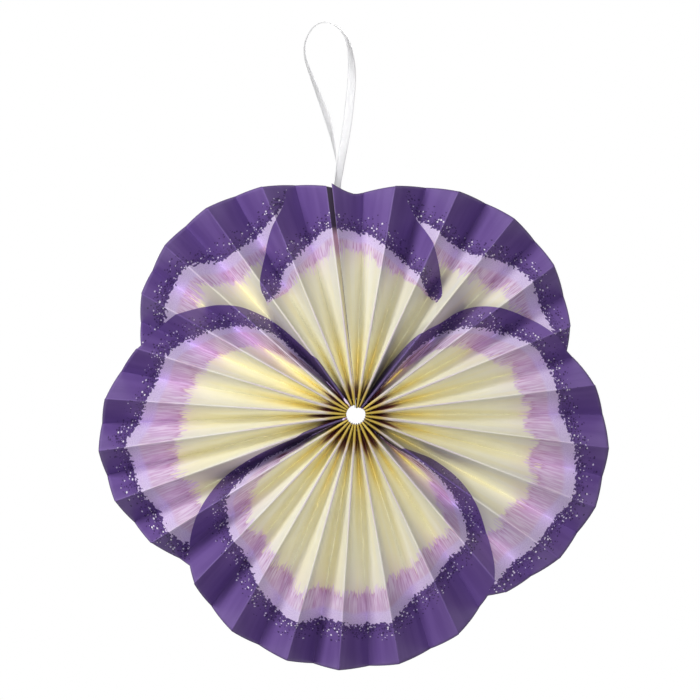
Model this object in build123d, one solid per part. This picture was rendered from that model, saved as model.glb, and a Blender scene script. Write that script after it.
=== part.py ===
from build123d import *
import os
from math import asin, atan2, cos, degrees, hypot, pi, radians, sin, sqrt, tan

# A hanging paper rosette: one printed strip folded in pleats, closed in a ring and tied at the hub.
# Millimetres, +Z up. The rosette stands in the XZ plane and shows its printed side towards -Y.
# The origin is the inside of the ribbon loop's top, where a hook or a nail carries the rosette.

# Folded strip
FAN_RADIUS = 207.0          # the rim at the tallest petal
HUB_RADIUS = 7.6            # the open centre
RIM_DEPTH = 13.5            # front to back at the rim, where the pleats are pulled widest
CARD_THICK = 0.3
CREST_WIDTH = 0.5           # the rounded top of a fold, drawn as a narrow flat
SEAM_CUT = 5.0              # the strip's first end is cut this far short of its fold
SEAM_BEARING = 97.4         # degrees, from +X towards +Z

# Each pleat's angle round the hub, clockwise from the seam, as a share of their mean
PITCH_SHARES = [
    1.24, 1.08, 1.02, 1.03, 1.05, 1.10, 1.05, 0.99, 1.02, 1.06, 1.08, 1.10, 0.99,
    0.86, 1.03, 1.00, 1.02, 0.89, 0.85, 0.84, 0.95, 0.91, 0.87, 0.92, 0.97, 1.08,
]
SEAM_VALLEY_SHARE = 0.55    # the place of the seam's own back fold within its pleat
VALLEY_SHARE = 0.5          # the place of every other back fold

# Rim: where each petal begins, in degrees, and its rim at that notch and at three places after it,
# a quarter of the petal apart, as shares of the fan's radius
PETAL_SHARES = [
    (16.7, [0.854, 0.949, 0.968, 0.924]),
    (90.3, [0.852, 0.933, 0.981, 0.970]),
    (162.0, [0.869, 0.969, 0.998, 0.953]),
    (222.3, [0.869, 0.966, 0.984, 0.963]),
    (306.0, [0.867, 0.954, 0.989, 0.963]),
]
RIM_SPARE = 3.0             # what the uncut strip has beyond the tallest petal

# Ribbon
RIBBON_WIDTH = 7.0
RIBBON_THICK = 0.2
RIBBON_GLUED = 18.0         # the length of each end that is held in the seam
SEAM_CLEARANCE = 0.05       # between one layer in the seam and the next
RIBBON_RIM_SHARE = 0.888    # the rim where the ribbon leaves it, as a share of the fan's radius
RIBBON_PLACE_SHARE = 0.28   # how far it lies from the seam's fold, as a share of the panel
SECTION_STEP = 6.0          # the spacing of the cross-sections that draw a band
RUN_SHARE = 0.45            # how much of the shorter run each arc of the route takes

# The ribbon's route from the rim over the hook and back, and the turn of its width, in degrees,
# away from the direction that looks through the rosette
RIBBON_EXIT = (8.9, -131.2)
RIBBON_ROUTE = [
    ((11.2, -4.8, -117.5), -60),
    ((14.2, -4.0, -100.0), -72),
    ((17.2, -3.2, -82.0), -86),
    ((19.4, -2.4, -62.0), -88),
    ((20.9, -1.6, -44.0), -72),
    ((20.6, -0.9, -29.5), -46),
    ((18.2, -0.4, -15.0), -26),
    ((11.2, 0.0, -4.1), -14),
    ((0.6, 0.0, 0.95), 0),
    ((-9.5, 0.0, -2.1), 2),
    ((-17.3, -0.2, -14.7), 6),
    ((-17.6, -0.6, -27.5), 10),
    ((-12.6, -1.2, -41.5), 16),
    ((-6.4, -2.0, -57.5), 30),
    ((0.6, -2.8, -75.5), 44),
    ((4.4, -3.6, -90.0), 26),
    ((7.4, -4.4, -106.0), 10),
    ((8.7, -5.0, -119.5), 22),
]

# Gathering thread
THREAD_RADIUS = 0.35
THREAD_CLEARANCE = 0.2      # round the thread, in the holes that it passes
THREAD_RING = 12.5          # how far out from the centre the thread runs
KNOT_RADIUS = 0.5

# Tape
TAPE_WIDTH = 9.0
TAPE_START = 15.8           # how far in from the ribbon's glued ends the tape begins
TAPE_LENGTH = 90.0
TAPE_PLACE_SHARE = 0.5      # how far it lies across the panel


def unit_out(bearing):
    """The direction that points out from the hub at this bearing, in radians."""
    return Vector(cos(bearing), 0, sin(bearing))


def unit_round(bearing):
    """The direction that runs counter-clockwise round the hub at this bearing."""
    return Vector(-sin(bearing), 0, cos(bearing))


def flat_to_front(vector):
    """The part of a vector that lies in the plane of the rosette."""
    return Vector(vector.X, 0, vector.Z)


def fold_bearings():
    """The bearings of all folds, clockwise: back, front, back and so on, to the seam's front fold."""
    mean_pitch = 2 * pi / sum(PITCH_SHARES)
    bearing = radians(SEAM_BEARING)
    bearings = []
    for number, share in enumerate(PITCH_SHARES):
        pitch = mean_pitch * share
        valley = VALLEY_SHARE if number else SEAM_VALLEY_SHARE
        bearings.append(bearing - pitch * valley)
        bearing -= pitch
        bearings.append(bearing)
    return bearings


FRONT = Vector(0, -1, 0)
THROUGH = Vector(0, 1, 0)
folds = fold_bearings()
panel_spans = []
for place, fold in enumerate(folds):
    before = folds[place - 1] if place else folds[-1] + 2 * pi
    panel_spans.append(before - fold)

strip_end = FAN_RADIUS + RIM_SPARE
strip_radii = [HUB_RADIUS, (HUB_RADIUS + strip_end) / 2, strip_end]
pleat_width = hypot(strip_end * max(panel_spans), RIM_DEPTH)
seam_gap = 2 * RIBBON_THICK + 3 * SEAM_CLEARANCE
layer_step = CARD_THICK + seam_gap


def panel_depth(number, radius):
    """How far a panel reaches from front to back at this radius; its width never changes."""
    return sqrt(pleat_width**2 - (radius * panel_spans[number]) ** 2)


def crest(number, radius):
    """The two corners of a fold's narrow flat, in the order that the strip runs."""
    after = (number + 1) % len(folds)
    level = (panel_depth(number, radius) + panel_depth(after, radius)) / 4
    forward = level if number % 2 else -level
    middle = unit_out(folds[number]) * radius + FRONT * forward
    half = unit_round(folds[number]) * CREST_WIDTH / 2
    return [middle + half, middle - half]


def seam_panel(radius):
    """The first panel's top, uncut, its foot, and the step from it to the last panel behind it."""
    foot = crest(0, radius)[0]
    top_behind = crest(len(folds) - 1, radius)[1]
    across = top_behind - foot
    sideways = flat_to_front(across)
    turn = asin(layer_step / across.length)
    slope = atan2(across.dot(FRONT), sideways.length) + turn
    step = (sideways.normalized() * sin(slope) - FRONT * cos(slope)) * layer_step
    return top_behind - step, foot, step


def strip_section(radius):
    """The strip's centre line at one radius, from its first cut end to its last."""
    top, foot, step = seam_panel(radius)
    line = [top + (foot - top).normalized() * SEAM_CUT]
    for number in range(len(folds)):
        line += crest(number, radius)
    return line + [foot + step]


def side_lines(radius):
    """The strip's front and back corners at one radius, half the card's thickness either way."""
    line = strip_section(radius)
    normals = []
    for here, there in zip(line, line[1:]):
        outward = flat_to_front(here + there)
        normals.append((there - here).cross(outward).normalized())
    offsets = [normals[0]]
    for one, other in zip(normals, normals[1:]):
        offsets.append((one + other) / (1 + one.dot(other)))
    offsets.append(normals[-1])
    front = [point + offset * CARD_THICK / 2 for point, offset in zip(line, offsets)]
    back = [point - offset * CARD_THICK / 2 for point, offset in zip(line, offsets)]
    return front, back


def bow(start, middle, end):
    """The three poles of the shallow curve that passes these points half-way and at its ends."""
    return [start, middle * 2 - (start + end) / 2, end]


def along_bow(poles, share):
    """The point this share of the way along such a curve."""
    left = poles[0] * (1 - share) + poles[1] * share
    right = poles[1] * (1 - share) + poles[2] * share
    return left * (1 - share) + right * share


def make_strip():
    """The whole pleated strip before its rim is cut, as one closed solid."""
    sections = [side_lines(radius) for radius in strip_radii]
    front, back = [[bow(*row) for row in zip(*side)] for side in zip(*sections)]
    faces = []
    for side in (front, back):
        for one, other in zip(side, side[1:]):
            faces.append(Face.make_bezier_surface([one, other]))
    rows = list(zip(front, back))
    for one, other in zip(rows, rows[1:]):
        for end in (0, -1):
            near = [line[end] for line in one]
            far = [line[end] for line in other]
            faces.append(Face.make_bezier_surface([near, far]))
    for row in (rows[0], rows[-1]):
        faces.append(Face.make_bezier_surface(list(row)))
    return Solid(Shell(faces))


def make_rim():
    """The block that the five petals are cut to, right through the pleats."""
    edges = []
    for number, (start, shares) in enumerate(PETAL_SHARES):
        end, next_shares = PETAL_SHARES[(number + 1) % len(PETAL_SHARES)]
        quarter = (end - start) % 360 / len(shares)
        points = []
        for place, share in enumerate(shares + next_shares[:1]):
            points.append(unit_out(radians(start + quarter * place)) * FAN_RADIUS * share)
        edges.append(Spline(*points))
    return extrude(Face(Wire(edges)), amount=pleat_width, dir=tuple(FRONT), both=True)


def make_ring(wire_radius):
    """A ring of this thickness round the hub, half-way through the pleats."""
    return Solid.make_torus(THREAD_RING, wire_radius, Plane(origin=(0, 0, 0), z_dir=tuple(FRONT)))


def make_pleated_fan():
    fan = make_strip() & make_rim()
    return fan - make_ring(THREAD_RADIUS + THREAD_CLEARANCE)


def make_gathering_thread():
    """The thread that gathers the pleats, with its knot in the space under one front fold."""
    knot = Pos(*(unit_out(folds[1]) * THREAD_RING)) * Sphere(KNOT_RADIUS)
    return make_ring(THREAD_RADIUS) + knot


seam_rows = [seam_panel(radius) for radius in strip_radii]
seam_tops, seam_feet, seam_steps = [bow(*column) for column in zip(*seam_rows)]


def seam_point(radius, place_share, layer_share):
    """A point in the seam: how far down from the fold, and from the front panel to the one behind."""
    share = (radius - HUB_RADIUS) / (strip_end - HUB_RADIUS)
    top = along_bow(seam_tops, share)
    foot = along_bow(seam_feet, share)
    return top + (foot - top) * place_share + along_bow(seam_steps, share) * layer_share


ribbon_rim = FAN_RADIUS * RIBBON_RIM_SHARE
exit_x, exit_z = RIBBON_EXIT
hub_centre = Vector(exit_x, 0, exit_z) - flat_to_front(seam_point(ribbon_rim, RIBBON_PLACE_SHARE, 0.5))
at_hub = Pos(*hub_centre)


def seam_plane(radius, place_share, layer_share, heading=1):
    """A cross-section there: its x down the panel, its z out from the hub, or in for -1."""
    top = seam_point(radius, 0, layer_share)
    foot = seam_point(radius, 1, layer_share)
    here = top + (foot - top) * place_share
    out = flat_to_front(here) * heading
    return Plane(origin=here + hub_centre, x_dir=(foot - top), z_dir=out)


def make_band(planes, width, thickness):
    """A flat strip through a row of cross-sections, as one solid."""
    return loft([plane * Rectangle(width, thickness) for plane in planes], ruled=True)


def make_join_tape():
    """The double-sided tape that closes the ring."""
    count = round(TAPE_LENGTH / SECTION_STEP)
    tape_rim = ribbon_rim - RIBBON_GLUED - TAPE_START
    planes = []
    for number in range(count + 1):
        radius = tape_rim - TAPE_LENGTH * (1 - number / count)
        planes.append(seam_plane(radius, TAPE_PLACE_SHARE, 0.5))
    return make_band(planes, TAPE_WIDTH, seam_gap - 2 * SEAM_CLEARANCE)


def make_route(points):
    """The ribbon's centre line: straight runs joined by arcs as large as the runs allow."""
    radii = []
    for before, here, after in zip(points, points[1:], points[2:]):
        turn = radians((here - before).get_angle(after - here))
        run = min((here - before).length, (after - here).length)
        radii.append(RUN_SHARE * run / tan(turn / 2))
    print("ribbon arcs:", [round(radius, 1) for radius in radii])
    return FilletPolyline(*points, radius=radii)


def turn_at(share, marks, turns):
    """The turn of the ribbon's width this share of the way along its route."""
    for one, other, here, there in zip(marks, marks[1:], turns, turns[1:]):
        if share <= other:
            return here + (there - here) * (share - one) / (other - one)
    return turns[-1]


def end_turn(plane, heading):
    """The turn of the ribbon's width where it meets the seam."""
    sideways = heading.cross(THROUGH)
    return degrees(atan2(plane.x_dir.dot(sideways), plane.x_dir.dot(THROUGH)))


def make_ribbon_loop():
    """The ribbon, from one glued end over the hook and down to the other."""
    half_layer = (RIBBON_THICK + SEAM_CLEARANCE) / 2 / layer_step
    ends = []
    for layer_share, heading in ((0.5 - half_layer, 1), (0.5 + half_layer, -1)):
        planes = []
        for radius in (ribbon_rim - RIBBON_GLUED, ribbon_rim):
            planes.append(seam_plane(radius, RIBBON_PLACE_SHARE, layer_share, heading))
        ends.append(planes)
    first, last = ends
    points = [first[1].origin] + [Vector(*place) for place, turn in RIBBON_ROUTE] + [last[1].origin]
    turns = [end_turn(first[1], first[1].z_dir)]
    turns += [turn for place, turn in RIBBON_ROUTE]
    turns.append(end_turn(last[1], last[1].z_dir))
    marks = [0.0]
    for here, there in zip(points, points[1:]):
        marks.append(marks[-1] + (there - here).length)
    marks = [mark / marks[-1] for mark in marks]
    route = make_route(points)
    count = round(route.length / SECTION_STEP)
    planes = list(first)
    for number in range(1, count):
        share = number / count
        heading = route % share
        turn = radians(turn_at(share, marks, turns))
        sideways = heading.cross(THROUGH).normalized()
        across = THROUGH * cos(turn) + sideways * sin(turn)
        planes.append(Plane(origin=route @ share, x_dir=across, z_dir=heading))
    planes += reversed(last)
    ribbon = make_band(planes, RIBBON_WIDTH, RIBBON_THICK)
    length = route.length + 2 * RIBBON_GLUED
    print("ribbon length", round(length, 1), "volume", round(ribbon.volume, 1))
    print("section times length", round(length * RIBBON_WIDTH * RIBBON_THICK, 1))
    print("top of the route", round(route.bounding_box().max.Z, 2), "exits", first[1].origin, last[1].origin)
    return ribbon


os.makedirs("parts", exist_ok=True)
pieces = {
    "pleated_fan": at_hub * make_pleated_fan(),
    "gathering_thread": at_hub * make_gathering_thread(),
    "join_tape": make_join_tape(),
    "ribbon_loop": make_ribbon_loop(),
}
for name, piece in pieces.items():
    export_step(piece, f"parts/{name}.step")
print("hub centre", [round(size, 2) for size in hub_centre])
print("pleat width", round(pleat_width, 2))
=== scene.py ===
# %% [markdown]
# # A pleated paper rosette on a ribbon loop
# The real object is one printed strip of card, folded like an accordion, closed in a ring and gathered
# at the middle. A satin ribbon comes out of the seam at the top. This lesson loads the measured model
# first and then dresses it: the camera, the ribbon, the folded card, its print and the light.
# Everything is in metres. The rosette stands in the XZ plane and shows its print towards -Y.

from math import asin, atan2, cos, degrees, hypot, pi, radians, sin, sqrt

import bmesh
import bpy
import numpy as np
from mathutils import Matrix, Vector


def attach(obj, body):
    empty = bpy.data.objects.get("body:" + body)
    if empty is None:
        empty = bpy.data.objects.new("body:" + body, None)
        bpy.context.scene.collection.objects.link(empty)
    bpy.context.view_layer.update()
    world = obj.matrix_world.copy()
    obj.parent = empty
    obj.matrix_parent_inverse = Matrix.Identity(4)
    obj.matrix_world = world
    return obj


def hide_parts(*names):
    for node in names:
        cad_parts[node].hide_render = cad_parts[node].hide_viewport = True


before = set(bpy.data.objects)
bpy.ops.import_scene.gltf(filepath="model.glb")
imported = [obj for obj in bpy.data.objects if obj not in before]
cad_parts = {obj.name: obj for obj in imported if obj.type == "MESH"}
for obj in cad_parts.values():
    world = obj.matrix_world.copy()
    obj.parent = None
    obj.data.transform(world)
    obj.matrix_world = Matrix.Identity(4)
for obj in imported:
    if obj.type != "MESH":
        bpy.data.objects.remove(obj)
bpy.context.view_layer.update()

# %% [markdown]
# ## Where every fold lies
# The folded strip is the heart of this object, so its sizes come first. A fold in front and a fold
# behind take turns round the hub. A panel between two folds keeps its width all the way out, because
# card doesn't stretch: as a pleat opens towards the rim, it gets shallower. Working the folds out from
# these few sizes is better than copying a mesh, since the ribbon and the card can then share them.

# %% Sizes of the folded strip
FAN_RADIUS = 0.2070
HUB_RADIUS = 0.0076
RIM_DEPTH = 0.0135
CARD_THICK = 0.0003
CREST_WIDTH = 0.0005
CREST_FLATNESS = 5
SEAM_CUT = 0.0050
SEAM_BEARING = 97.4
PITCH_SHARES = [
    1.24, 1.08, 1.02, 1.03, 1.05, 1.10, 1.05, 0.99, 1.02, 1.06, 1.08, 1.10, 0.99,
    0.86, 1.03, 1.00, 1.02, 0.89, 0.85, 0.84, 0.95, 0.91, 0.87, 0.92, 0.97, 1.08,
]
SEAM_VALLEY_SHARE = 0.55
VALLEY_SHARE = 0.5
RIM_SPARE = 0.0030
SEAM_GAP = 0.00055

folds = []
bearing = radians(SEAM_BEARING)
for number, share in enumerate(PITCH_SHARES):
    pitch = 2 * pi / sum(PITCH_SHARES) * share
    folds.append(bearing - pitch * (VALLEY_SHARE if number else SEAM_VALLEY_SHARE))
    bearing -= pitch
    folds.append(bearing)
spans = [before - fold for before, fold in zip([radians(SEAM_BEARING)] + folds, folds)]
strip_end = FAN_RADIUS + RIM_SPARE
strip_radii = (HUB_RADIUS, (HUB_RADIUS + strip_end) / 2, strip_end)
panel_width = hypot(strip_end * max(spans), RIM_DEPTH)
layer_step = CARD_THICK + SEAM_GAP
print(len(folds), "folds, panels", round(panel_width * 1000, 1), "mm wide")

# %% Points on the folds
FRONT = Vector((0, -1, 0))


def flat(vector):
    """The part of a vector that lies in the plane of the rosette."""
    return Vector((vector.x, 0, vector.z))


def panel_depth(number, radius):
    """How far a panel reaches from front to back at this radius."""
    return sqrt(panel_width**2 - (radius * spans[number]) ** 2)


def crest(number, radius):
    """The two corners of a fold's narrow top, and its rounded middle between them."""
    after = (number + 1) % len(folds)
    level = (panel_depth(number, radius) + panel_depth(after, radius)) / 4
    forward = FRONT if number % 2 else -FRONT
    out = Vector((cos(folds[number]), 0, sin(folds[number])))
    half = Vector((-out.z, 0, out.x)) * CREST_WIDTH / 2
    middle = out * radius + forward * level
    return [middle + half, middle + forward * CREST_WIDTH / CREST_FLATNESS, middle - half]


def seam_panel(radius):
    """The first panel's top before it was cut, its foot, and the step back to the layer behind it."""
    foot = crest(0, radius)[0]
    top_behind = crest(len(folds) - 1, radius)[2]
    across = top_behind - foot
    sideways = flat(across)
    slope = atan2(across.dot(FRONT), sideways.length) + asin(layer_step / across.length)
    step = (sideways.normalized() * sin(slope) - FRONT * cos(slope)) * layer_step
    return top_behind - step, foot, step


def along(three, radius):
    """The point at this radius on the shallow curve that passes three points on the strip."""
    share = (radius - HUB_RADIUS) / (strip_end - HUB_RADIUS)
    start, middle, end = three
    return (
        start * (1 - share) * (1 - 2 * share)
        + middle * 4 * share * (1 - share)
        + end * share * (2 * share - 1)
    )


seam_tops, seam_feet, seam_steps = zip(*[seam_panel(radius) for radius in strip_radii])


def seam_point(radius, place_share, layer_share):
    """A point in the seam: how far down from its fold, and how far back between its two layers."""
    top = along(seam_tops, radius)
    foot = along(seam_feet, radius)
    return top + (foot - top) * place_share + along(seam_steps, radius) * layer_share


RIBBON_RIM_SHARE = 0.888
RIBBON_PLACE_SHARE = 0.28
RIBBON_EXIT = Vector((0.0089, 0, -0.1312))
ribbon_rim = FAN_RADIUS * RIBBON_RIM_SHARE
hub = RIBBON_EXIT - flat(seam_point(ribbon_rim, RIBBON_PLACE_SHARE, 0.5))
print("hub centre", [round(size * 1000, 2) for size in hub], "mm")

# %% [markdown]
# ## The camera
# The photograph looks straight at the rosette. The petals in front stand a pixel or two further out
# than the folds behind them, which a camera about 2.4 m away shows. One pixel is 0.8 mm in the plane
# through the middle of the card, so the lens follows from the distance.

# %% Set the camera
CAMERA_DISTANCE = 2.4
PIXEL = 0.0008
FRAME_PIXELS = 700
HOOK_PIXEL = (326, 22)

camera = bpy.data.objects.new("camera", bpy.data.cameras.new("camera"))
bpy.context.collection.objects.link(camera)
bpy.context.scene.camera = camera
middle = FRAME_PIXELS / 2
camera.location = ((middle - HOOK_PIXEL[0]) * PIXEL, -CAMERA_DISTANCE, (HOOK_PIXEL[1] - middle) * PIXEL)
camera.rotation_euler = (pi / 2, 0, 0)
camera.data.lens = camera.data.sensor_width * CAMERA_DISTANCE / (FRAME_PIXELS * PIXEL)
print("lens", round(camera.data.lens, 1), "mm")

# %% [markdown]
# ## The ribbon's line
# A ribbon is a flat cord: it bends easily across its thin side and turns about its own length. Its line
# leaves the seam at the rim, leans over to the right, rounds the hook and comes back down on the left.
# A NURBS spline needs only the corners of that route and rounds them by itself. Both ends run on into
# the seam, between the two layers of card, where they are glued. Beside each corner stands the turn of
# the ribbon there, in degrees: at 0 it is edge-on to the camera, and at 90 it is broadside.

# %% Draw the ribbon's line
RIBBON_WIDTH = 0.0070
RIBBON_THICK = 0.0002
RIBBON_GLUED = 0.0180
SEAM_CLEARANCE = 0.00005
LINE_STEPS_PER_CORNER = 10
RIBBON_ROUTE = [
    ((0.0112, -0.0048, -0.1175), -60),
    ((0.0142, -0.0040, -0.1000), -72),
    ((0.0172, -0.0032, -0.0820), -86),
    ((0.0194, -0.0024, -0.0620), -88),
    ((0.0209, -0.0016, -0.0440), -72),
    ((0.0206, -0.0009, -0.0295), -46),
    ((0.0182, -0.0004, -0.0150), -28),
    ((0.0112, 0.0000, -0.0041), -17),
    ((0.0006, 0.0000, 0.00095), -11),
    ((-0.0095, 0.0000, -0.0021), -10),
    ((-0.0173, -0.0002, -0.0147), -11),
    ((-0.0176, -0.0006, -0.0275), -13),
    ((-0.0126, -0.0012, -0.0415), -20),
    ((-0.0064, -0.0020, -0.0575), -32),
    ((0.0006, -0.0028, -0.0755), -44),
    ((0.0044, -0.0036, -0.0900), -28),
    ((0.0074, -0.0044, -0.1060), -10),
    ((0.0087, -0.0050, -0.1195), 12),
]
half_layer = (RIBBON_THICK + SEAM_CLEARANCE) / 2 / layer_step


def glued_end(layer_share):
    """Three places on one end of the ribbon, from deep in the seam to the rim."""
    return [
        hub + seam_point(ribbon_rim - RIBBON_GLUED * share, RIBBON_PLACE_SHARE, layer_share)
        for share in (1, 0.5, 0)
    ]


first_end = glued_end(0.5 - half_layer)
last_end = glued_end(0.5 + half_layer)[::-1]
corners = first_end + [Vector(place) for place, turn in RIBBON_ROUTE] + last_end

curve = bpy.data.curves.new("ribbon_line", "CURVE")
curve.dimensions = "3D"
spline = curve.splines.new("NURBS")
spline.points.add(len(corners) - 1)
for point, corner in zip(spline.points, corners):
    point.co = (*corner, 1)
spline.order_u = 3
spline.use_endpoint_u = True
spline.resolution_u = LINE_STEPS_PER_CORNER
line = bpy.data.objects.new("ribbon_line", curve)
bare = bpy.data.meshes.new_from_object(line)
path = [vertex.co.copy() for vertex in bare.vertices]
bpy.data.meshes.remove(bare)
bpy.data.objects.remove(line)
bpy.data.curves.remove(curve)
path_length = sum((there - here).length for here, there in zip(path, path[1:]))
print("ribbon line", round(path_length * 1000, 1), "mm long in", len(path), "points")

# %% [markdown]
# ## The ribbon's band
# The band could be a curve with a flat profile, but a curve picks its own twist where it runs upright.
# Here a grid is laid along the line instead, and every row is turned to the width direction that the
# photograph shows: broadside to the camera low on the right, and edge-on where it enters the seam.

# %% Turn the band's rows
THROUGH = Vector((0, 1, 0))


def widthwise(number):
    """The direction of the ribbon's width at one corner of its line."""
    if number < len(first_end) or number >= len(corners) - len(last_end):
        radius = flat(corners[number] - hub).length
        return (along(seam_feet, radius) - along(seam_tops, radius)).normalized()
    heading = corners[number + 1] - corners[number - 1]
    turn = radians(RIBBON_ROUTE[number - len(first_end)][1])
    return THROUGH * cos(turn) + heading.cross(THROUGH).normalized() * sin(turn)


def running_shares(points):
    """How far along a row of points each of them lies, from 0 to 1."""
    marks = [0.0]
    for here, there in zip(points, points[1:]):
        marks.append(marks[-1] + (there - here).length)
    return [mark / marks[-1] for mark in marks]


corner_shares = running_shares(corners)
widths = [widthwise(number) for number in range(len(corners))]
for number in range(1, len(widths)):
    if widths[number].dot(widths[number - 1]) < 0:
        widths[number].negate()


def band_width_at(share, heading):
    """The width direction between two corners, kept square to the line."""
    number = max(place for place, mark in enumerate(corner_shares[:-1]) if mark <= share)
    here, there = corner_shares[number : number + 2]
    mixed = widths[number].lerp(widths[number + 1], (share - here) / (there - here))
    return (mixed - heading * mixed.dot(heading)).normalized()


# %% Build the ribbon
BAND_COLUMNS = 6
BAND_CURL = 0.00025
CURL_FADE = 8

band = bmesh.new()
band_uv = band.loops.layers.uv.new("ribbon")
bmesh.ops.create_grid(band, x_segments=BAND_COLUMNS, y_segments=len(path) - 1, size=1)
path_shares = running_shares(path)
places = {}
for vertex in band.verts:
    side = vertex.co.x
    row = round((vertex.co.y + 1) / 2 * (len(path) - 1))
    before, after = path[max(row - 1, 0)], path[min(row + 1, len(path) - 1)]
    heading = (after - before).normalized()
    across = band_width_at(path_shares[row], heading)
    freedom = min(1, min(path_shares[row], 1 - path_shares[row]) * CURL_FADE)
    curl = heading.cross(across) * BAND_CURL * side**2 * freedom
    places[vertex] = (side / 2, path_shares[row] * path_length / RIBBON_WIDTH)
    vertex.co = path[row] + across * side * RIBBON_WIDTH / 2 + curl
for face in band.faces:
    face.smooth = True
    for loop in face.loops:
        loop[band_uv].uv = places[loop.vert]


def finished_object(name, shape):
    """Turns a bmesh into an object of this name that stands at the origin."""
    mesh = bpy.data.meshes.new(name)
    shape.to_mesh(mesh)
    shape.free()
    made = bpy.data.objects.new(name, mesh)
    bpy.context.collection.objects.link(made)
    return made


ribbon = finished_object("ribbon_band", band)
thicken = ribbon.modifiers.new("thickness", "SOLIDIFY")
thicken.thickness = RIBBON_THICK
thicken.offset = 0
thicken.use_even_offset = True
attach(ribbon, "root")
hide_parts("ribbon_loop")
print("ribbon band has", len(ribbon.data.polygons), "faces")

# %% [markdown]
# ## The rim of five petals
# The folded strip was cut along its outer edge, so that the ring shows five petals. The outline is
# given at each notch and at three places between two notches, and a smooth curve through those five
# points gives the rim at any bearing. A notch stands first with its bearing in degrees, and then come
# the radii as shares of the fan's.

# %% Find the rim at any bearing
PETAL_SHARES = [
    (16.7, [0.854, 0.949, 0.968, 0.924]),
    (90.3, [0.852, 0.933, 0.981, 0.970]),
    (162.0, [0.869, 0.969, 0.998, 0.953]),
    (222.3, [0.869, 0.966, 0.984, 0.963]),
    (306.0, [0.867, 0.954, 0.989, 0.963]),
]
notches = [start for start, shares in PETAL_SHARES]


def through(values, place):
    """The value at this place on the smooth curve that passes values at places 0, 1, 2 and so on."""
    total = 0.0
    for number, value in enumerate(values):
        for other in range(len(values)):
            if other != number:
                value *= (place - other) / (number - other)
        total += value
    return total


def rim_at(bearing_degrees):
    """The radius where the card ends at this bearing."""
    for number, (start, shares) in enumerate(PETAL_SHARES):
        end, next_shares = PETAL_SHARES[(number + 1) % len(PETAL_SHARES)]
        place = (bearing_degrees - start) % 360 / ((end - start) % 360)
        if round(place, 6) <= 1:
            return FAN_RADIUS * through(shares + next_shares[:1], place * len(shares))


rim_radii = [rim_at(degree) * 1000 for degree in range(360)]
print("rim from", round(min(rim_radii)), "to", round(max(rim_radii)), "mm")

# %% [markdown]
# ## The folded card
# The flat strip is a grid, with its columns running from the hub to the rim. Folding it means moving
# the grid's points, column by column, to where the folds put them. A fold in card isn't sharp: it springs
# open into a small round loop, widest where the pleats crowd towards the hub, and that loop is what
# catches the light there. Solidify then gives the card its thickness, with the print in front, bare card
# behind, and the cut edge in between. A column of the grid is kept as its two neighbouring fold points,
# its share of the way between them, and its height, which runs from 0 in a valley to 1 on a ridge.

# %% Round the folds
LOOP_SHARES = [1, 0.5, 0, -0.5, -1]
LOOP_RADII = [0.006, 0.008, 0.016, 0.030, 0.110, 0.210]
LOOP_HALVES = [0.0004, 0.0006, 0.00085, 0.00085, 0.0006, 0.0003]
VALLEY_LOOP = 0.3
STEEPEST = 0.998

crests = [[crest(number, radius) for radius in strip_radii] for number in range(len(folds))]
FIRST_END, LAST_END = -1, len(folds)
first_tops = [top + (foot - top).normalized() * SEAM_CUT for top, foot in zip(seam_tops, seam_feet)]
last_feet = [foot + step for foot, step in zip(seam_feet, seam_steps)]


def loop_point(number, share, radius):
    """A point on a fold's round loop, from 1 where the panel before it ends to -1 where the next starts."""
    if number == FIRST_END:
        return along(first_tops, radius)
    if number == LAST_END:
        return along(last_feet, radius)
    if number == 0 and share > 0:
        return along([corners[1].lerp(corners[0], share) for corners in crests[0]], radius)
    tilt = asin(min(STEEPEST, panel_depth(number, radius) / panel_width))
    half = float(np.interp(radius, LOOP_RADII, LOOP_HALVES)) * (1 if number % 2 else VALLEY_LOOP)
    forward = FRONT if number % 2 else -FRONT
    side = Vector((-sin(folds[number]), 0, cos(folds[number])))
    aside = side * half * sin(tilt * share) / sin(tilt)
    back = forward * half * (1 - cos(tilt * share)) / sin(tilt)
    return along([corners[1] for corners in crests[number]], radius) + aside - back


# %% Lay out the columns of the strip
PANEL_SHARES = [0, 0.05, 0.2, 0.35, 0.5, 0.65, 0.8, 0.95, 1]
LOOP_HEIGHT = 0.03
SHARE, HEIGHT = 2, 3

columns = []
for number in range(FIRST_END, LAST_END):
    start = (number, LOOP_SHARES[-1])
    end = (number + 1, LOOP_SHARES[0])
    height, slope = (1, -1) if number % 2 else (0, 1)
    for share in PANEL_SHARES:
        level = LOOP_HEIGHT + (1 - 2 * LOOP_HEIGHT) * share
        columns.append([start, end, share, height + slope * level])
    if number + 1 < LAST_END:
        for share in LOOP_SHARES[1:-1]:
            place = (number + 1, share)
            columns.append([place, place, 0, 1 - height - slope * abs(share) * LOOP_HEIGHT])


def strip_point(column, radius):
    """Where a column of the strip lies at this radius, seen from the hub."""
    start, end, share, height = column
    return loop_point(*start, radius).lerp(loop_point(*end, radius), share)


def bearing_of(point):
    """The bearing of a point round the hub, in degrees."""
    return degrees(atan2(point.z, point.x))


def turn_between(start, end):
    """The turn from one bearing to another, from -180 to 180 degrees."""
    return (end - start + 180) % 360 - 180


bearings = [bearing_of(strip_point(columns[0], strip_radii[1]))]
for column in columns[1:]:
    bearing = bearing_of(strip_point(column, strip_radii[1]))
    bearings.append(bearings[-1] + turn_between(bearings[-1], bearing))
print(len(columns), "columns, from bearing", round(bearings[0], 1), "to", round(bearings[-1], 1))

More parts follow.
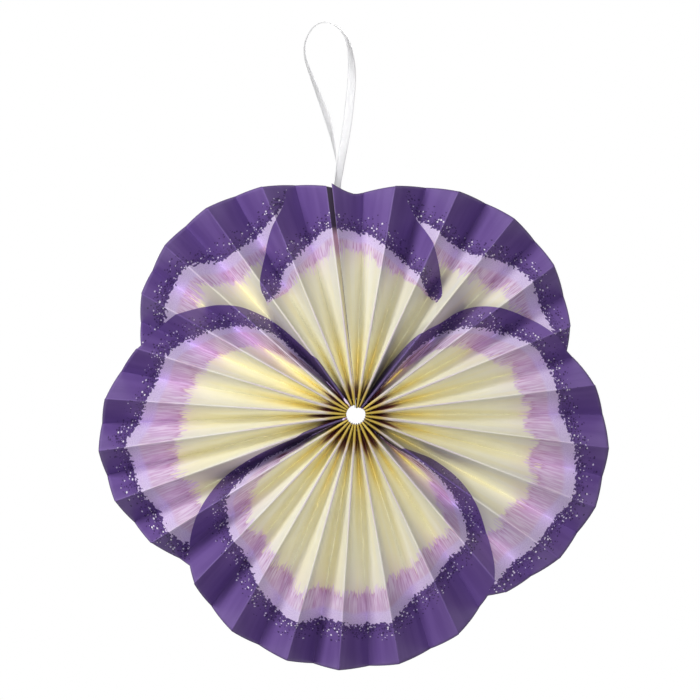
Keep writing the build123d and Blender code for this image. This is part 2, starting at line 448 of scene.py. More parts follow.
# %% Give each notch a column
for notch in notches:
    gaps = [
        abs(turn_between(notch, bearing)) if 0 < column[SHARE] < 1 else 360
        for bearing, column in zip(bearings, columns)
    ]
    nearest = gaps.index(min(gaps))
    other = nearest + 1 if turn_between(notch, bearings[nearest]) > 0 else nearest - 1
    here, there = gaps[nearest], abs(turn_between(notch, bearings[other]))
    for place in (SHARE, HEIGHT):
        change = columns[other][place] - columns[nearest][place]
        columns[nearest][place] += change * here / (here + there)
    bearings[nearest] = bearing_of(strip_point(columns[nearest], strip_radii[1])) % 360
    while bearings[nearest] > bearings[0] + 1:
        bearings[nearest] -= 360
    print("notch", notch, "takes column", nearest, "at", round(bearings[nearest] % 360, 2))

# %% Shape the strip's two long edges
CORNER_LIFT = 0.017
CORNER_REACH = 4.5
HUB_SLACK = 0.34
HUB_SLACK_END = 75
seam_bearing = bearings[0]
last_ridge = bearings[-1 - len(PANEL_SHARES)]


def outer_end(column):
    """Where a column ends at the rim: the seam's front corner stands a little proud of the outline."""
    lift = max(0, 1 - (seam_bearing - bearings[column]) / CORNER_REACH) ** 2 * CORNER_LIFT
    return rim_at(bearings[column]) + FAN_RADIUS * lift


def inner_end(column):
    """Where a column starts at the hub: the first pleats after the seam hang into the hole."""
    slack = max(0, 1 - (seam_bearing - bearings[column]) / HUB_SLACK_END)
    return HUB_RADIUS * (1 - HUB_SLACK * slack)


# %% Fold the card
CARD_ROWS = 75

card = bmesh.new()
strip_uv = card.loops.layers.uv.new("strip")
ridge_layer = card.verts.layers.float.new("ridge")
edge_layer = card.verts.layers.float.new("from_rim")
bmesh.ops.create_grid(card, x_segments=len(columns) - 1, y_segments=CARD_ROWS, size=1)
places = {}
chords = [flat(strip_point(column, strip_end)).length / strip_end for column in columns]
for vertex in card.verts:
    column = round((vertex.co.x + 1) / 2 * (len(columns) - 1))
    share = (vertex.co.y + 1) / 2
    chord = chords[column]
    start, end = inner_end(column) / chord, outer_end(column) / chord
    radius = start + (end - start) * share
    places[vertex] = (bearings[column] / 360, radius * chord / FAN_RADIUS)
    vertex[ridge_layer] = columns[column][HEIGHT]
    vertex[edge_layer] = (end - radius) * chord
    vertex.co = strip_point(columns[column], radius) + hub
for face in card.faces:
    face.smooth = True
    for loop in face.loops:
        loop[strip_uv].uv = places[loop.vert]
plan = np.array([places[vertex] for vertex in card.verts])
card.normal_update()
facing = sum(face.normal.y * face.calc_area() for face in card.faces)
if facing > 0:
    bmesh.ops.reverse_faces(card, faces=card.faces)
print("card grid has", len(card.verts), "points", "and was turned over" if facing > 0 else "")

pleats = finished_object("printed_pleats", card)
thicken = pleats.modifiers.new("card", "SOLIDIFY")
thicken.thickness = CARD_THICK
thicken.offset = 0
thicken.use_even_offset = True
thicken.material_offset = 1
thicken.material_offset_rim = 2
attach(pleats, "root")
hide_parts("pleated_fan")

# %% [markdown]
# ## Short ways to add nodes
# A procedural finish is a small program of nodes. A few helpers keep it readable: they add a node with
# its settings and inputs, do arithmetic, mix two colours, make a soft step or noise, start a material,
# and link a finished colour and its relief to the shader.

# %% Helpers for materials


def paint(red, green, blue):
    """A colour from 0 to 255, as a screen shows it, turned to the light that a shader works with."""
    light = []
    for value in (red, green, blue):
        value /= 255
        light.append(value / 12.92 if value <= 0.04045 else ((value + 0.055) / 1.055) ** 2.4)
    return (*light, 1)


def put(tree, kind, inputs=None, output=0, **settings):
    """Adds a node, sets it up and gives one of its outputs."""
    made = tree.nodes.new(kind)
    for name, value in settings.items():
        setattr(made, name, value)
    for name, value in (inputs or {}).items():
        if isinstance(value, bpy.types.NodeSocket):
            tree.links.new(value, made.inputs[name])
        else:
            made.inputs[name].default_value = value
    return made.outputs[output]


def sum_of(tree, operation, *values, clamp=False):
    """One step of arithmetic on sockets and numbers."""
    return put(tree, "ShaderNodeMath", dict(enumerate(values)), operation=operation, use_clamp=clamp)


def blend_of(tree, share, one, other):
    """One colour laid over another. Inputs 6 and 7 and output 2 are the node's colours."""
    made = tree.nodes.new("ShaderNodeMix")
    made.data_type = "RGBA"
    for name, value in ((0, share), (6, one), (7, other)):
        if isinstance(value, bpy.types.NodeSocket):
            tree.links.new(value, made.inputs[name])
        else:
            made.inputs[name].default_value = value
    return made.outputs[2]


def rise(tree, value, low, high):
    """0 below low, 1 above high, and a soft step between them."""
    inputs = {0: value, 1: low, 2: high}
    return put(tree, "ShaderNodeMapRange", inputs, interpolation_type="SMOOTHSTEP")


def grain(tree, vector, scale, detail=2.0, roughness=0.5):
    """Soft noise about 0.5."""
    inputs = {"Vector": vector, "Scale": scale, "Detail": detail, "Roughness": roughness}
    return put(tree, "ShaderNodeTexNoise", inputs)


def new_finish(name, **values):
    """A material with one shader, whose plain values are set on its own sockets."""
    material = bpy.data.materials.new(name)
    material.use_nodes = True
    shader = material.node_tree.nodes["Principled BSDF"]
    for socket, value in values.items():
        shader.inputs[socket.replace("_", " ")].default_value = value
    return material, material.node_tree, shader


def object_place(tree):
    """The place on a piece, in the metres of its own object."""
    return put(tree, "ShaderNodeTexCoord", output="Object")


def dress(tree, shader, colour, height, strength, distance):
    """Gives a shader its colour, and a relief that catches the light."""
    relief = put(tree, "ShaderNodeBump", {"Height": height, "Strength": strength, "Distance": distance})
    tree.links.new(colour, shader.inputs["Base Color"])
    tree.links.new(relief, shader.inputs["Normal"])


# %% [markdown]
# ## The petals of the print
# The print is a flower's face of five petals that overlap like roof tiles: two show behind, then one at
# the top, one at each side and one at the bottom. A petal has an edge, where it covers the one behind it,
# and a toothed border, where its purple margin ends. Both are smooth closed lines through a few points.
# Every point of the card stores how far inside each line it lies, so that the material only has to
# compare distances. That keeps a band as wide beside a steep line as beside a level one. A petal also
# says how far its strokes reach in from the border, in pixels, how dark a shadow it casts on the petals
# behind it, and how much of another petal's shadow it takes.

# %% Give the petals' lines, in pixels to the right of and above the hub
PETALS = {
    "back": {
        "reach": 30,
        "border": [
            (61.5, 195.5), (71.5, 190.5), (81.5, 183), (96.5, 170), (116.5, 160), (144, 153.5), (164, 144.5),
            (177, 129), (184.5, 110), (195.5, 85), (203, 60), (190, 0), (0, -60), (-190, 0), (-198, 60),
            (-191, 94), (-189, 109), (-185.5, 122.5), (-174, 142), (-157, 150.5), (-138.5, 153), (-125, 159.5),
            (-101, 176), (-81, 197.5), (-66, 212), (-40, 220), (0, 222), (40, 212),
        ],
    },
    "top": {
        "reach": 32,
        "casts": 0.35,
        "takes": 1.0,
        "edge": [
            (82, 113), (86, 118), (86.3, 127.5), (84.5, 142.5), (81, 157.5), (76.5, 171.3), (69, 184.3),
            (61.5, 195), (54.5, 207.5), (49, 222), (46, 250), (44, 290), (-60, 290), (-66, 250), (-70, 222),
            (-72, 210), (-77.5, 197.5), (-83.5, 187.5), (-88.5, 172.5), (-91.8, 157.5), (-94.3, 142.5),
            (-95.3, 130), (-93.5, 121.3), (-90.3, 115.5), (-84.8, 101.3), (-77.3, 87.5), (-50, 30), (0, -30),
            (50, 30), (77, 92), (80, 103),
        ],
        "border": [
            (-69.8, 147.4), (-61.7, 153.5), (-53.7, 164), (-45.6, 171.5), (-33.6, 182), (-24.2, 185.5),
            (-5.5, 183.6), (2.6, 180.8), (13.3, 180), (29.4, 167.5), (40.1, 159.5), (56.1, 144.7),
            (64.2, 136.7), (68.2, 127.3), (72.2, 120.6), (80.2, 113.5), (92, 113), (112, 115), (130, 60),
            (60, -60), (-60, -60), (-130, 60), (-112, 115), (-98, 113), (-87.8, 113.5), (-79.1, 120.6),
            (-76.4, 128.7), (-74.4, 138),
        ],
    },
    "right": {
        "reach": 50,
        "casts": 1.0,
        "takes": 1.0,
        "edge": [
            (11, 17), (20.3, 31.3), (29, 43.8), (40.3, 57), (51.5, 69.5), (60.3, 77.5), (71.5, 85),
            (85.3, 91.8), (101.3, 102), (118.3, 107.3), (133.3, 107.8), (149, 105), (164.8, 100),
            (181.5, 91.8), (195.5, 82), (204, 74), (212, 63.5), (235, 50), (285, 50), (300, -50),
            (280, -170), (200, -260), (120, -230), (90, -140), (15, -20), (4, 0),
        ],
        "border": [
            (14.6, 15.5), (28, 31.5), (41.4, 47), (52.1, 57.7), (61.5, 66), (72.2, 73.8), (84, 79.5),
            (100, 85), (115.3, 87), (129, 85.8), (144, 82), (164.8, 75), (182.8, 62.5), (195.3, 42.5),
            (202, 17.5), (204, 5), (209, -7.5), (217.8, -33.8), (221, -55), (217, -78.8), (204, -100),
            (186.5, -121.3), (171.5, -137.5), (151.5, -155), (135, -168), (100, -170), (40, -100), (6, -8),
        ],
    },
    "left": {
        "reach": 54,
        "casts": 0.35,
        "takes": 0.35,
        "edge": [
            (-10.8, 16.2), (-16.2, 24.2), (-25.6, 36.3), (-39, 55), (-59, 73.8), (-72.4, 85.1),
            (-85.8, 94.5), (-99.2, 101.2), (-112.6, 106.6), (-126, 108.8), (-146, 108.8), (-171, 102.5),
            (-183.5, 96.8), (-202, 82.5), (-214, 69.5), (-235, 66), (-285, 60), (-300, -60), (-260, -180),
            (-180, -210), (-130, -130), (-40, -40), (-4, 0),
        ],
        "border": [
            (-14.8, 18.8), (-21.5, 24.8), (-32.3, 35.5), (-45.6, 48.3), (-56.4, 57.7), (-65.7, 66.5),
            (-76.4, 76), (-85.8, 81.8), (-99.2, 86.5), (-112.6, 88.5), (-126, 87.5), (-143.5, 83.8),
            (-163.5, 76.3), (-178.9, 68.9), (-189.1, 57.9), (-196.5, 42.5), (-204.5, 21.9), (-212.6, 2.9),
            (-221.4, -14.7), (-228.7, -26.5), (-226.5, -38), (-222.1, -57.3), (-211.9, -79.3),
            (-196.5, -99.8), (-187.7, -115.9), (-167.1, -130.6), (-140, -145), (-80, -100), (-8, -6),
        ],
    },
    "bottom": {
        "reach": 42,
        "casts": 0.75,
        "takes": 1.0,
        "edge": [
            (-21.2, -7.1), (-32.8, -10.9), (-45.3, -15.4), (-66, -24.6), (-80, -31), (-96, -38.9),
            (-114.3, -49.9), (-133.4, -64.6), (-151, -86.6), (-161.3, -108.6), (-167.1, -130.6),
            (-167, -152), (-178, -180), (-190, -230), (-120, -300), (0, -320), (100, -300), (150, -240),
            (133, -183), (138, -165), (138, -146.4), (131, -118.3), (119.8, -88.8), (102.9, -65),
            (79.1, -46.5), (62.2, -39), (41.8, -31), (25.2, -20.8), (10, -8), (0, 4), (-8, -2),
        ],
        "border": [
            (-16, -7), (-28.7, -12.9), (-41.1, -19.6), (-53.6, -27), (-66, -34.1), (-82.3, -40.8),
            (-103.5, -55), (-114.8, -66.3), (-123.5, -75), (-129.8, -88), (-129, -102.7), (-128.5, -113),
            (-120.4, -126.8), (-110.1, -144), (-97.5, -170.4), (-82.5, -192.2), (-61.9, -206),
            (-35.5, -205.4), (-16.5, -206.5), (-1, -211.2), (24, -209), (36.5, -205), (57, -185),
            (76.3, -166), (93.1, -146.4), (109, -127.5), (111.3, -119), (107.1, -101.5), (97.3, -80.4),
            (80.5, -59.4), (62.2, -44.5), (41.8, -34), (25, -22.8), (10, -9), (0, 3),
        ],
    },
}
RADIUS_PIXELS = FAN_RADIUS / PIXEL
LINE_STEPS = 6


def on_sheet(bearing, radius):
    """A flat place in pixels, from bearings in degrees and radii in pixels."""
    turn = np.radians(bearing)
    return np.stack([radius * np.cos(turn), radius * np.sin(turn)], axis=-1)


def closed_line(points):
    """A smooth closed line through points, as short straight steps."""
    here = np.array(points, dtype=float)
    before, after, later = (np.roll(here, -shift, axis=0) for shift in (-1, 1, 2))
    steps = []
    for share in np.arange(LINE_STEPS) / LINE_STEPS:
        bend = (2 * before - 5 * here + 4 * after - later) * share**2
        twist = (3 * here - before - 3 * after + later) * share**3
        steps.append(here + ((after - before) * share + bend + twist) / 2)
    return np.stack(steps, axis=1).reshape(-1, 2)


def how_far_inside(places, line):
    """The distance from each place to a closed line, negative outside it."""
    nearest = np.full(len(places), np.inf)
    inside = np.zeros(len(places), dtype=bool)
    for start, end in zip(line, np.roll(line, -1, axis=0)):
        run = end - start
        off = places - start
        share = np.clip(off @ run / (run @ run), 0, 1)
        nearest = np.minimum(nearest, ((off - share[:, None] * run) ** 2).sum(axis=1))
        passes = (start[1] > places[:, 1]) != (end[1] > places[:, 1])
        rise_here = run[1] if run[1] else 1.0
        left = places[:, 0] < start[0] + (places[:, 1] - start[1]) * run[0] / rise_here
        inside ^= passes & left
    return np.where(inside, 1, -1) * np.sqrt(nearest)


# %% Store the distances on the card
sheet = on_sheet(plan[:, 0] * 360, plan[:, 1] * RADIUS_PIXELS)
for name, petal in PETALS.items():
    for part in ("edge", "border"):
        if part in petal:
            distances = how_far_inside(sheet, closed_line(petal[part]))
            layer = pleats.data.attributes.new(f"{name}_{part}", "FLOAT", "POINT")
            layer.data.foreach_set("value", distances.astype(np.float32))
            print(name, part, "holds", round(float((distances > 0).mean()) * 100), "% of the card's points")

# %% [markdown]
# ## The colours of the print
# From the rim inwards the colours are a purple margin, a narrow lilac band, mauve strokes that end like a
# comb, and a pale cream field. The real print only looks yellow deep in the pleats, where light bounces
# from panel to panel and takes up more of the card's colour each time, so the cream itself is pale. Near
# the hub the valleys are also given a painted deeper yellow, which stands for that bounced light.
# Dark dots crowd along the border, and white specks are scattered over the margin beside it.

# %% Name the inks, and the radii in pixels between which something changes
INKS = {
    "cream": (246, 244, 230),
    "warm cream": (246, 242, 217),
    "pale yellow": (254, 252, 236),
    "yellow": (252, 246, 216),
    "brushed yellow": (246, 239, 182),
    "painted valley bounce": (250, 239, 162),
    "grey": (206, 205, 199),
    "ochre": (214, 188, 84),
    "pale mauve": (238, 221, 242),
    "mauve": (218, 187, 220),
    "stroke tip": (205, 161, 201),
    "maroon": (136, 62, 92),
    "lilac": (220, 199, 240),
    "pale lilac": (235, 220, 251),
    "whiskers_and_hub_shade": (150, 62, 84),
    "petal shadow": (84, 74, 62),
    "purple": (108, 80, 149),
    "light purple": (119, 91, 160),
    "hub purple": (50, 35, 64),
    "dense purple": (76, 53, 110),
    "dark dot": (70, 48, 102),
    "speck": (250, 246, 255),
    "seam shade near hub": (252, 242, 200),
    "seam shade middle": (220, 170, 196),
    "seam shade at rim": (38, 20, 46),
    "crest_wear_and_highlight": (214, 199, 207),
    "crest wear and highlight near hub": (186, 173, 178),
    "crest wear and highlight at hub": (170, 144, 42),
    "valley_crease_shade": (172, 158, 118),
    "rim line": (62, 46, 88),
}
RADII = {
    "yellow": (110, 55),
    "brushed yellow": (95, 40),
    "painted valley bounce": (100, 45),
    "grey": (40, 95),
    "maroon": (120, 80),
    "tongue end": (146, 132),
    "wide teeth": (50, 140),
    "pale shadow": (25, 90),
    "shadow end": (230, 150),
    "hub purple": (110, 30),
    "specks": (90, 150),
    "seam shade middle": (150, 168),
    "seam shade at rim": (178, 190),
    "less crest wear and highlight": (90, 140),
    "crest wear and highlight near hub": (110, 40),
    "crest wear and highlight at hub": (36, 24),
}

# %% Read the place on the card
BORDER_SHARE = 0.8
STROKE_STRETCH = 0.07

printed, tree, shader = new_finish("printed_card", Roughness=0.5)


def stored(name):
    """One of the numbers that the card's points hold."""
    return put(tree, "ShaderNodeAttribute", attribute_name=name, output="Fac")


def times(*shares):
    """The product of several shares."""
    product = shares[0]
    for share in shares[1:]:
        product = sum_of(tree, "MULTIPLY", product, share)
    return product


ridge, from_rim = stored("ridge"), stored("from_rim")
strip_map = put(tree, "ShaderNodeUVMap", uv_map="strip")
split = put(tree, "ShaderNodeSeparateXYZ", {0: strip_map}).node
turn_share = split.outputs[0]
turn_pixels = times(turn_share, 2 * pi * RADIUS_PIXELS * BORDER_SHARE)
radius_pixels = times(split.outputs[1], RADIUS_PIXELS)
around = put(tree, "ShaderNodeCombineXYZ", {0: turn_pixels, 1: radius_pixels})
stretch = (1, STROKE_STRETCH, 1)
lengthwise = put(tree, "ShaderNodeVectorMath", {0: around, 1: stretch}, operation="MULTIPLY")

# %% Four more short ways, for the print alone


def by_radius(name):
    """0 at the first of the two radii of this name, 1 at the second, and a soft step between them."""
    return rise(tree, radius_pixels, *RADII[name])


def choose(share, one, other):
    """One number where share is 0 and another where it is 1."""
    change = sum_of(tree, "SUBTRACT", other, one)
    return sum_of(tree, "MULTIPLY_ADD", change, share, one)


def swing(noise, width, middle):
    """A number that soft noise moves up and down, over this width in all."""
    return sum_of(tree, "MULTIPLY_ADD", sum_of(tree, "SUBTRACT", noise, 0.5), width, middle)


def lay(share, below, above):
    """One colour laid over another, where a name stands for an ink."""
    below, above = (paint(*INKS[layer]) if isinstance(layer, str) else layer for layer in (below, above))
    return blend_of(tree, share, below, above)


# %% Stack the petals
SHADOW_WIDTH = 9

inside = stored("back_border")
reach = PETALS["back"]["reach"]
tongues, shadow, takes = 0.0, 0.0, 1.0
for name in ("top", "right", "left", "bottom"):
    petal = PETALS[name]
    edge = stored(f"{name}_edge")
    covers = sum_of(tree, "GREATER_THAN", edge, 0)
    inside = choose(covers, inside, stored(f"{name}_border"))
    reach = choose(covers, reach, petal["reach"])
    cast = times(rise(tree, edge, -SHADOW_WIDTH, 0), petal["casts"], takes)
    shadow = choose(covers, sum_of(tree, "MAXIMUM", shadow, cast), 0.0)
    takes = choose(covers, takes, petal["takes"])
    tongues = choose(covers, tongues, 1.0 if name == "top" else 0.0)
print(len(tree.nodes), "nodes stack the petals")

# %% Measure the bands, and let noise fray their ends
NARROW_FROM = 200
NARROWEST = 0.03
TONGUE_DEPTH = 60
STROKE_SWING = 74
UNEVEN_SWING = 46
TOOTH_SIZES = (2, 13)

near_hub = sum_of(tree, "DIVIDE", radius_pixels, NARROW_FROM, clamp=True)
near_hub = sum_of(tree, "MAXIMUM", sum_of(tree, "POWER", near_hub, 2), NARROWEST)
depth = sum_of(tree, "DIVIDE", inside, near_hub)
below_tongue = times(tongues, by_radius("tongue end"))
depth = sum_of(tree, "MULTIPLY_ADD", below_tongue, TONGUE_DEPTH, depth)
strokes = grain(tree, lengthwise, 0.62, 2.5)
streaks = grain(tree, lengthwise, 0.12, 3.0)
patches = grain(tree, lengthwise, 0.03)
mottle = grain(tree, around, 0.9)
teeth = grain(tree, around, 0.36, 1.0, 0.4)
uneven = grain(tree, around, 0.045, 1.0)
combed = swing(uneven, UNEVEN_SWING, swing(strokes, STROKE_SWING, depth))
past_comb = sum_of(tree, "SUBTRACT", combed, reach)
toothed = swing(teeth, choose(by_radius("wide teeth"), *TOOTH_SIZES), inside)

# %% Colour the field
PAINTED_BOUNCE_SHARE = 0.6
PAINTED_TOP_SHADE_SHARE = 0.2
OCHRE_RADII = (34, 44)
OCHRE_FADE = 16

streaky = rise(tree, streaks, 0.4, 0.62)
cream = lay(streaky, "cream", "warm cream")
yellow = lay(streaky, "pale yellow", "yellow")
brushed = times(rise(tree, patches, 0.5, 0.66), by_radius("brushed yellow"))
yellow = lay(brushed, yellow, "brushed yellow")
# Painted bounce light: the valleys near the hub get a deeper yellow, standing for light bounced between the
# panels.
deep = times(rise(tree, ridge, 0.5, 0.05), by_radius("painted valley bounce"), PAINTED_BOUNCE_SHARE)
yellow = lay(deep, yellow, "painted valley bounce")
field = lay(by_radius("yellow"), cream, yellow)
# Painted shade: the cream on the top petal is greyed, more so further out from the hub.
field = lay(times(tongues, by_radius("grey"), PAINTED_TOP_SHADE_SHARE), field, "grey")
ochre_end = choose(rise(tree, stored("bottom_edge"), -4, 4), *OCHRE_RADII)
ochre = rise(tree, sum_of(tree, "SUBTRACT", radius_pixels, ochre_end), 0, -OCHRE_FADE)
field = lay(ochre, field, "ochre")

# %% Colour the strokes and the lilac band
mauve = lay(rise(tree, strokes, 0.36, 0.58), "pale mauve", "mauve")
comb_tip = times(rise(tree, past_comb, -16, -2), rise(tree, strokes, 0.46, 0.6))
mauve = lay(comb_tip, mauve, "stroke tip")
maroon = times(by_radius("maroon"), rise(tree, strokes, 0.5, 0.6))
mauve = lay(maroon, mauve, "maroon")
lilac = lay(rise(tree, mottle, 0.35, 0.65), "lilac", "pale lilac")
coloured = lay(rise(tree, past_comb, 3, -3), field, mauve)
coloured = lay(rise(tree, depth, 15, 9), coloured, lilac)

# %% Paint whiskers and shade into the hub's valleys, and the shadows beneath the petals
WHISKER_SHORTEST = 9
WHISKER_SPREAD = 50
SHADOW_SHARES = (0.9, 0.3)

luck = grain(tree, lengthwise, 0.035, 0.0)
whisker_length = sum_of(tree, "MULTIPLY_ADD", luck, WHISKER_SPREAD, WHISKER_SHORTEST)
whisker_length = sum_of(tree, "MULTIPLY_ADD", tongues, -WHISKER_SHORTEST, whisker_length)
whiskers_and_hub_shade = rise(tree, sum_of(tree, "SUBTRACT", radius_pixels, whisker_length), 5, -9)
# The print's maroon whiskers are kept to the valleys, where they also stand for painted shade deep in the
# folds.
valley = rise(tree, swing(strokes, 0.3, ridge), 0.97, 0.8)
coloured = lay(times(whiskers_and_hub_shade, valley), coloured, "whiskers_and_hub_shade")
shaded = times(shadow, choose(by_radius("pale shadow"), *SHADOW_SHARES), by_radius("shadow end"))
coloured = lay(shaded, coloured, "petal shadow")

# %% Scatter round dots
DARK_CELL, DARK_SIZE = 2.2, 0.75
SPECK_CELL, SPECK_SIZE = 2.7, 0.62
SPECK_SHARE = 0.7


def dots(cell, size):
    """Round dots, each somewhere in its own cell, and a number from 0 to 1 that belongs to it."""
    made = put(tree, "ShaderNodeTexVoronoi", {"Vector": around, "Scale": 1 / cell}).node
    hue = put(tree, "ShaderNodeSeparateColor", {0: made.outputs["Color"]}).node
    limit = sum_of(tree, "MULTIPLY_ADD", hue.outputs[0], size / cell, size / cell / 2)
    return sum_of(tree, "LESS_THAN", made.outputs["Distance"], limit), hue.outputs[1]


dark_dot, dark_luck = dots(DARK_CELL, DARK_SIZE)
dark_here = times(dark_dot, sum_of(tree, "LESS_THAN", dark_luck, rise(tree, inside, -22, -6)))
speck, speck_luck = dots(SPECK_CELL, SPECK_SIZE)
scatter = times(rise(tree, inside, -20, -6), rise(tree, inside, 0, -4), by_radius("specks"), SPECK_SHARE)
speck_here = times(speck, sum_of(tree, "LESS_THAN", speck_luck, scatter))

# %% Lay the purple margin
DENSE_SHARE = 0.8

purple = lay(rise(tree, streaks, 0.35, 0.65), "purple", "light purple")
purple = lay(by_radius("hub purple"), purple, "hub purple")
dense = times(rise(tree, inside, -12, -2), rise(tree, mottle, 0.4, 0.54), DENSE_SHARE)
purple = lay(dense, purple, "dense purple")
purple = lay(dark_here, purple, "dark dot")
purple = lay(speck_here, purple, "speck")
coloured = lay(sum_of(tree, "LESS_THAN", toothed, 0), coloured, purple)

# %% Paint shade into the seam and the valley creases, wear and highlights onto the folds, and a dark line along the cut rim
SEAM_SHADE_SHARE = 0.94
CREST_WEAR_AND_HIGHLIGHT_SHARES = (0.85, 0.25)
VALLEY_CREASE_SHADE_SHARE = 0.55
RIM_LINE_SHARE = 0.6

# Painted shade in the seam: the strip of the panel under the flap is repainted, pale near the hub and
# near-black at the rim.
seam_shade = lay(by_radius("seam shade middle"), "seam shade near hub", "seam shade middle")
seam_shade = lay(by_radius("seam shade at rim"), seam_shade, "seam shade at rim")
under_flap = sum_of(tree, "LESS_THAN", turn_share, last_ridge / 360)
coloured = lay(times(under_flap, SEAM_SHADE_SHARE), coloured, seam_shade)
in_field = rise(tree, inside, 0, 8)
# Partly wear and partly painted highlight: the ridges are lightened for fold whitening and for the light they
# catch.
on_fold = rise(tree, ridge, 1 - LOOP_HEIGHT, 1 - LOOP_HEIGHT / 2)
crest_wear_and_highlight = times(on_fold, choose(by_radius("less crest wear and highlight"), *CREST_WEAR_AND_HIGHLIGHT_SHARES), in_field)
crest_wear_and_highlight_ink = lay(by_radius("crest wear and highlight near hub"), "crest_wear_and_highlight", "crest wear and highlight near hub")
crest_wear_and_highlight_ink = lay(by_radius("crest wear and highlight at hub"), crest_wear_and_highlight_ink, "crest wear and highlight at hub")
coloured = lay(crest_wear_and_highlight, coloured, crest_wear_and_highlight_ink)
# Painted shade: the card darkens along the valley folds.
valley_crease_shade = times(rise(tree, ridge, LOOP_HEIGHT, 0), in_field, VALLEY_CREASE_SHADE_SHARE)
coloured = lay(valley_crease_shade, coloured, "valley_crease_shade")
# A thin darker line along the cut rim.
rim_line = times(rise(tree, from_rim, 0.0008, 0.0002), RIM_LINE_SHARE)
coloured = lay(rim_line, coloured, "rim line")

# %% Give the print its paper grain
INK_ROUGHNESS = 0.5

fibre = grain(tree, object_place(tree), 1400, 4.0, 0.65)
dress(tree, shader, coloured, fibre, 0.12, 0.0002)
tree.links.new(swing(fibre, 0.3, INK_ROUGHNESS), shader.inputs["Roughness"])

# %% [markdown]
# ## Bare card and its cut edge
# Behind, the strip is plain card, and its cut edge shows the paper's core.

# %% Finish the back and the edge
bare, bare_tree, bare_shader = new_finish("bare_card", Roughness=0.8)
bare_place = object_place(bare_tree)
fibres = grain(bare_tree, bare_place, 900, 4.0, 0.6)
clouds = rise(bare_tree, grain(bare_tree, bare_place, 45), 0.3, 0.7)
bare_colour = blend_of(bare_tree, fibres, paint(234, 233, 228), paint(247, 246, 242))
bare_colour = blend_of(bare_tree, clouds, bare_colour, paint(238, 236, 230))
dress(bare_tree, bare_shader, bare_colour, fibres, 0.2, 0.0002)

cut, cut_tree, cut_shader = new_finish("cut_edge", Roughness=0.9)
cut_fibres = grain(cut_tree, object_place(cut_tree), 1500, 3.0)
cut_colour = blend_of(cut_tree, cut_fibres, paint(112, 94, 134), paint(164, 152, 176))
cut_tree.links.new(cut_colour, cut_shader.inputs["Base Color"])
for material in (printed, bare, cut):
    pleats.data.materials.append(material)

# %% [markdown]
# ## Satin, cotton and tissue
# Satin is smooth because its threads run mostly lengthwise: the weave shows as very fine lines along
# the band, with a slightly firmer selvedge at each side. The thread is twisted from two plies, so its
# bump runs slantwise, and the tape is a thin fibrous tissue.

# %% Finish the ribbon
SATIN_THREADS = 60
SATIN_DEPTH = 0.001
SELVEDGE_HEIGHT = 3

satin, satin_tree, satin_shader = new_finish(
    "satin",
    Roughness=0.42,
    Sheen_Weight=0.1,
    Subsurface_Weight=1.0,
    Subsurface_Scale=SATIN_DEPTH,
    Subsurface_Radius=(1, 1, 1),
)
ribbon_map = put(satin_tree, "ShaderNodeUVMap", uv_map="ribbon")
satin_split = put(satin_tree, "ShaderNodeSeparateXYZ", {0: ribbon_map}).node
across, lengthways = satin_split.outputs[0], satin_split.outputs[1]
thread_phase = sum_of(satin_tree, "MULTIPLY", across, 2 * pi * SATIN_THREADS)
pick_phase = sum_of(satin_tree, "MULTIPLY_ADD", lengthways, 2 * pi * SATIN_THREADS / 5, thread_phase)
threads, picks = (sum_of(satin_tree, "SINE", phase) for phase in (thread_phase, pick_phase))
weave = sum_of(satin_tree, "ADD", threads, picks)
selvedge = rise(satin_tree, sum_of(satin_tree, "ABSOLUTE", across), 0.44, 0.47)
shimmer = grain(satin_tree, ribbon_map, 3.0)
satin_colour = blend_of(satin_tree, shimmer, paint(208, 208, 211), paint(216, 216, 219))
edging = sum_of(satin_tree, "MULTIPLY", selvedge, 0.5)
satin_colour = blend_of(satin_tree, edging, satin_colour, paint(196, 196, 202))
height = sum_of(satin_tree, "MULTIPLY_ADD", selvedge, SELVEDGE_HEIGHT, weave)
dress(satin_tree, satin_shader, satin_colour, height, 0.15, 0.00003)
ribbon.data.materials.append(satin)

# %% Finish the thread and the tape
cotton, cotton_tree, cotton_shader = new_finish("cotton", Roughness=0.9, Sheen_Weight=0.3)
twist = {"Vector": object_place(cotton_tree), "Scale": 450.0, "Distortion": 1.5}
plies = put(cotton_tree, "ShaderNodeTexWave", twist, output="Fac", bands_direction="DIAGONAL")
cotton_colour = blend_of(cotton_tree, plies, paint(196, 188, 168), paint(236, 231, 218))
dress(cotton_tree, cotton_shader, cotton_colour, plies, 0.5, 0.0001)

tissue, tissue_tree, tissue_shader = new_finish("tissue_tape", Roughness=0.6)
tissue_fibres = grain(tissue_tree, object_place(tissue_tree), 1100, 4.0)
tissue_colour = blend_of(tissue_tree, tissue_fibres, paint(222, 216, 198), paint(240, 235, 222))
dress(tissue_tree, tissue_shader, tissue_colour, tissue_fibres, 0.3, 0.0001)
for name, material in (("gathering_thread", cotton), ("join_tape", tissue)):
    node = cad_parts[name]
    node.data.materials.clear()
    node.data.materials.append(material)

# %% [markdown]
# ## Floor and light
# The rosette hangs clear of everything before plain white. A large soft lamp stands near it at the upper
# left, so each pleat has a light panel and a shaded one. A weaker lamp at the camera and a soft spot on
# the hub reach deep into the folds, another lamp lights the bare back, and pale surroundings fill the
# rest. The satin is lit apart from the card: the key lamp leaves it out and two lamps reach nothing else,
# so that it is evenly light where it faces the camera and greyer where it turns edge-on. The floor and
# the surroundings look white to the camera, as a paper sweep does in a studio, but give less light than
# that, and the floor keeps part of its shadow.

# %% Lay the floor
FLOOR_Z = -0.72
FLOOR_HALF = 1.0
FLOOR_GLOW = 0.7

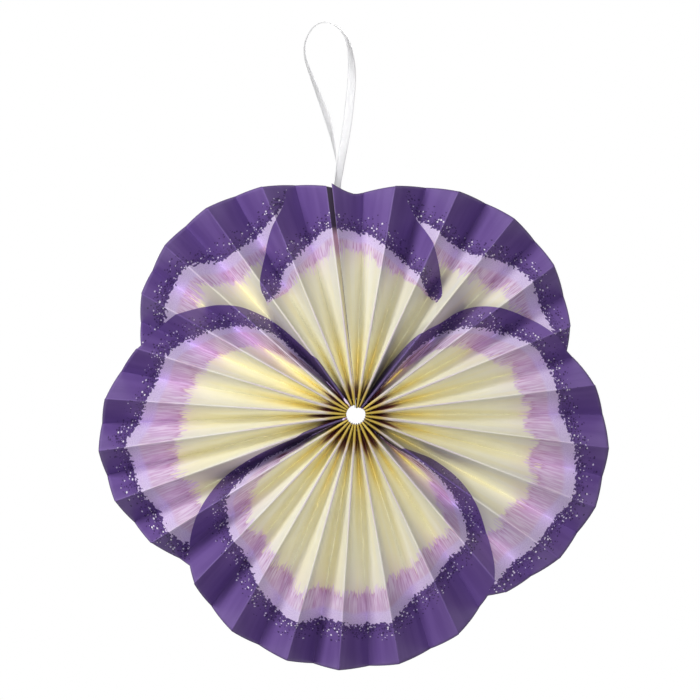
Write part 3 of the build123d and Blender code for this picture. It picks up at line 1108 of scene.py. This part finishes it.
floor_shape = bmesh.new()
bmesh.ops.create_grid(floor_shape, x_segments=1, y_segments=1, size=FLOOR_HALF)
bmesh.ops.translate(floor_shape, verts=floor_shape.verts, vec=(0, 0, FLOOR_Z))
ground = finished_object("floor", floor_shape)
pale, pale_tree, pale_shader = new_finish("pale_floor", Roughness=0.9)
ground.data.materials.append(pale)


def seen_directly(tree):
    """1 where the camera looks at something, by itself or in a reflection, and 0 for the light it gives."""
    ray = tree.nodes.new("ShaderNodeLightPath")
    seen = sum_of(tree, "MAXIMUM", ray.outputs["Is Camera Ray"], ray.outputs["Is Glossy Ray"])
    return sum_of(tree, "MAXIMUM", seen, ray.outputs["Is Transmission Ray"])


floor_seen = seen_directly(pale_tree)
floor_colour = blend_of(pale_tree, floor_seen, paint(150, 150, 150), paint(240, 240, 240))
pale_tree.links.new(floor_colour, pale_shader.inputs["Base Color"])
glow = put(pale_tree, "ShaderNodeEmission", {"Color": paint(246, 246, 246), "Strength": 1.0})
glow_share = sum_of(pale_tree, "MULTIPLY", floor_seen, FLOOR_GLOW)
lit_floor = put(pale_tree, "ShaderNodeMixShader", {0: glow_share, 1: pale_shader.outputs[0], 2: glow})
pale_tree.links.new(lit_floor, pale_tree.nodes["Material Output"].inputs["Surface"])

# %% Place the lamps, each with its place from the hub, its size and its power
LAMPS = {
    "key": ((-0.92, -1.05, 0.68), 0.6, 15.0),
    "front": ((0.00, -2.40, 0.16), 0.5, 10.6),
    "back": ((0.55, 2.20, 0.80), 1.2, 36.0),
    "hub": ((0.00, -2.40, 0.16), 0.1, 68.0),
    "satin_right": ((0.90, -1.50, 0.80), 0.8, 17.0),
    "satin_left": ((-0.90, -1.50, 0.50), 0.8, 20.0),
}
SPOT_ANGLE = 0.11
SPOT_SOFTNESS = 1.0

for name, (place, size, power) in LAMPS.items():
    kind = "SPOT" if name == "hub" else "AREA"
    lamp = bpy.data.objects.new(name, bpy.data.lights.new(name, kind))
    bpy.context.collection.objects.link(lamp)
    lamp.location = hub + Vector(place)
    lamp.rotation_euler = Vector(place).to_track_quat("Z", "Y").to_euler()
    lamp.data.energy = power
    if kind == "SPOT":
        lamp.data.spot_size = SPOT_ANGLE
        lamp.data.spot_blend = SPOT_SOFTNESS
        lamp.data.shadow_soft_size = size
    else:
        lamp.data.size = size
    if name == "key" or name.startswith("satin"):
        chosen = bpy.data.collections.new(f"{name}_light")
        chosen.objects.link(ribbon)
        lamp.light_linking.receiver_collection = chosen
        if name == "key":
            chosen.collection_objects[0].light_linking.link_state = "EXCLUDE"
    print(name, "lamp", round(Vector(place).length, 2), "m from the hub")

# %% Surround the scene with white
FILL = 0.16
FILL_COLOUR = (1, 0.98, 0.95, 1)
BOUNCES_IN_THE_FOLDS = 12

world = bpy.data.worlds.new("studio")
bpy.context.scene.world = world
world.use_nodes = True
sky = world.node_tree
sky.nodes.clear()
filling = put(sky, "ShaderNodeBackground", {"Color": FILL_COLOUR, "Strength": FILL})
white = put(sky, "ShaderNodeBackground", {"Color": (1, 1, 1, 1), "Strength": 1.0})
mixed = put(sky, "ShaderNodeMixShader", {0: seen_directly(sky), 1: filling, 2: white})
end = sky.nodes.new("ShaderNodeOutputWorld")
sky.links.new(mixed, end.inputs["Surface"])
bpy.context.scene.view_settings.view_transform = "Standard"
bpy.context.scene.cycles.diffuse_bounces = BOUNCES_IN_THE_FOLDS
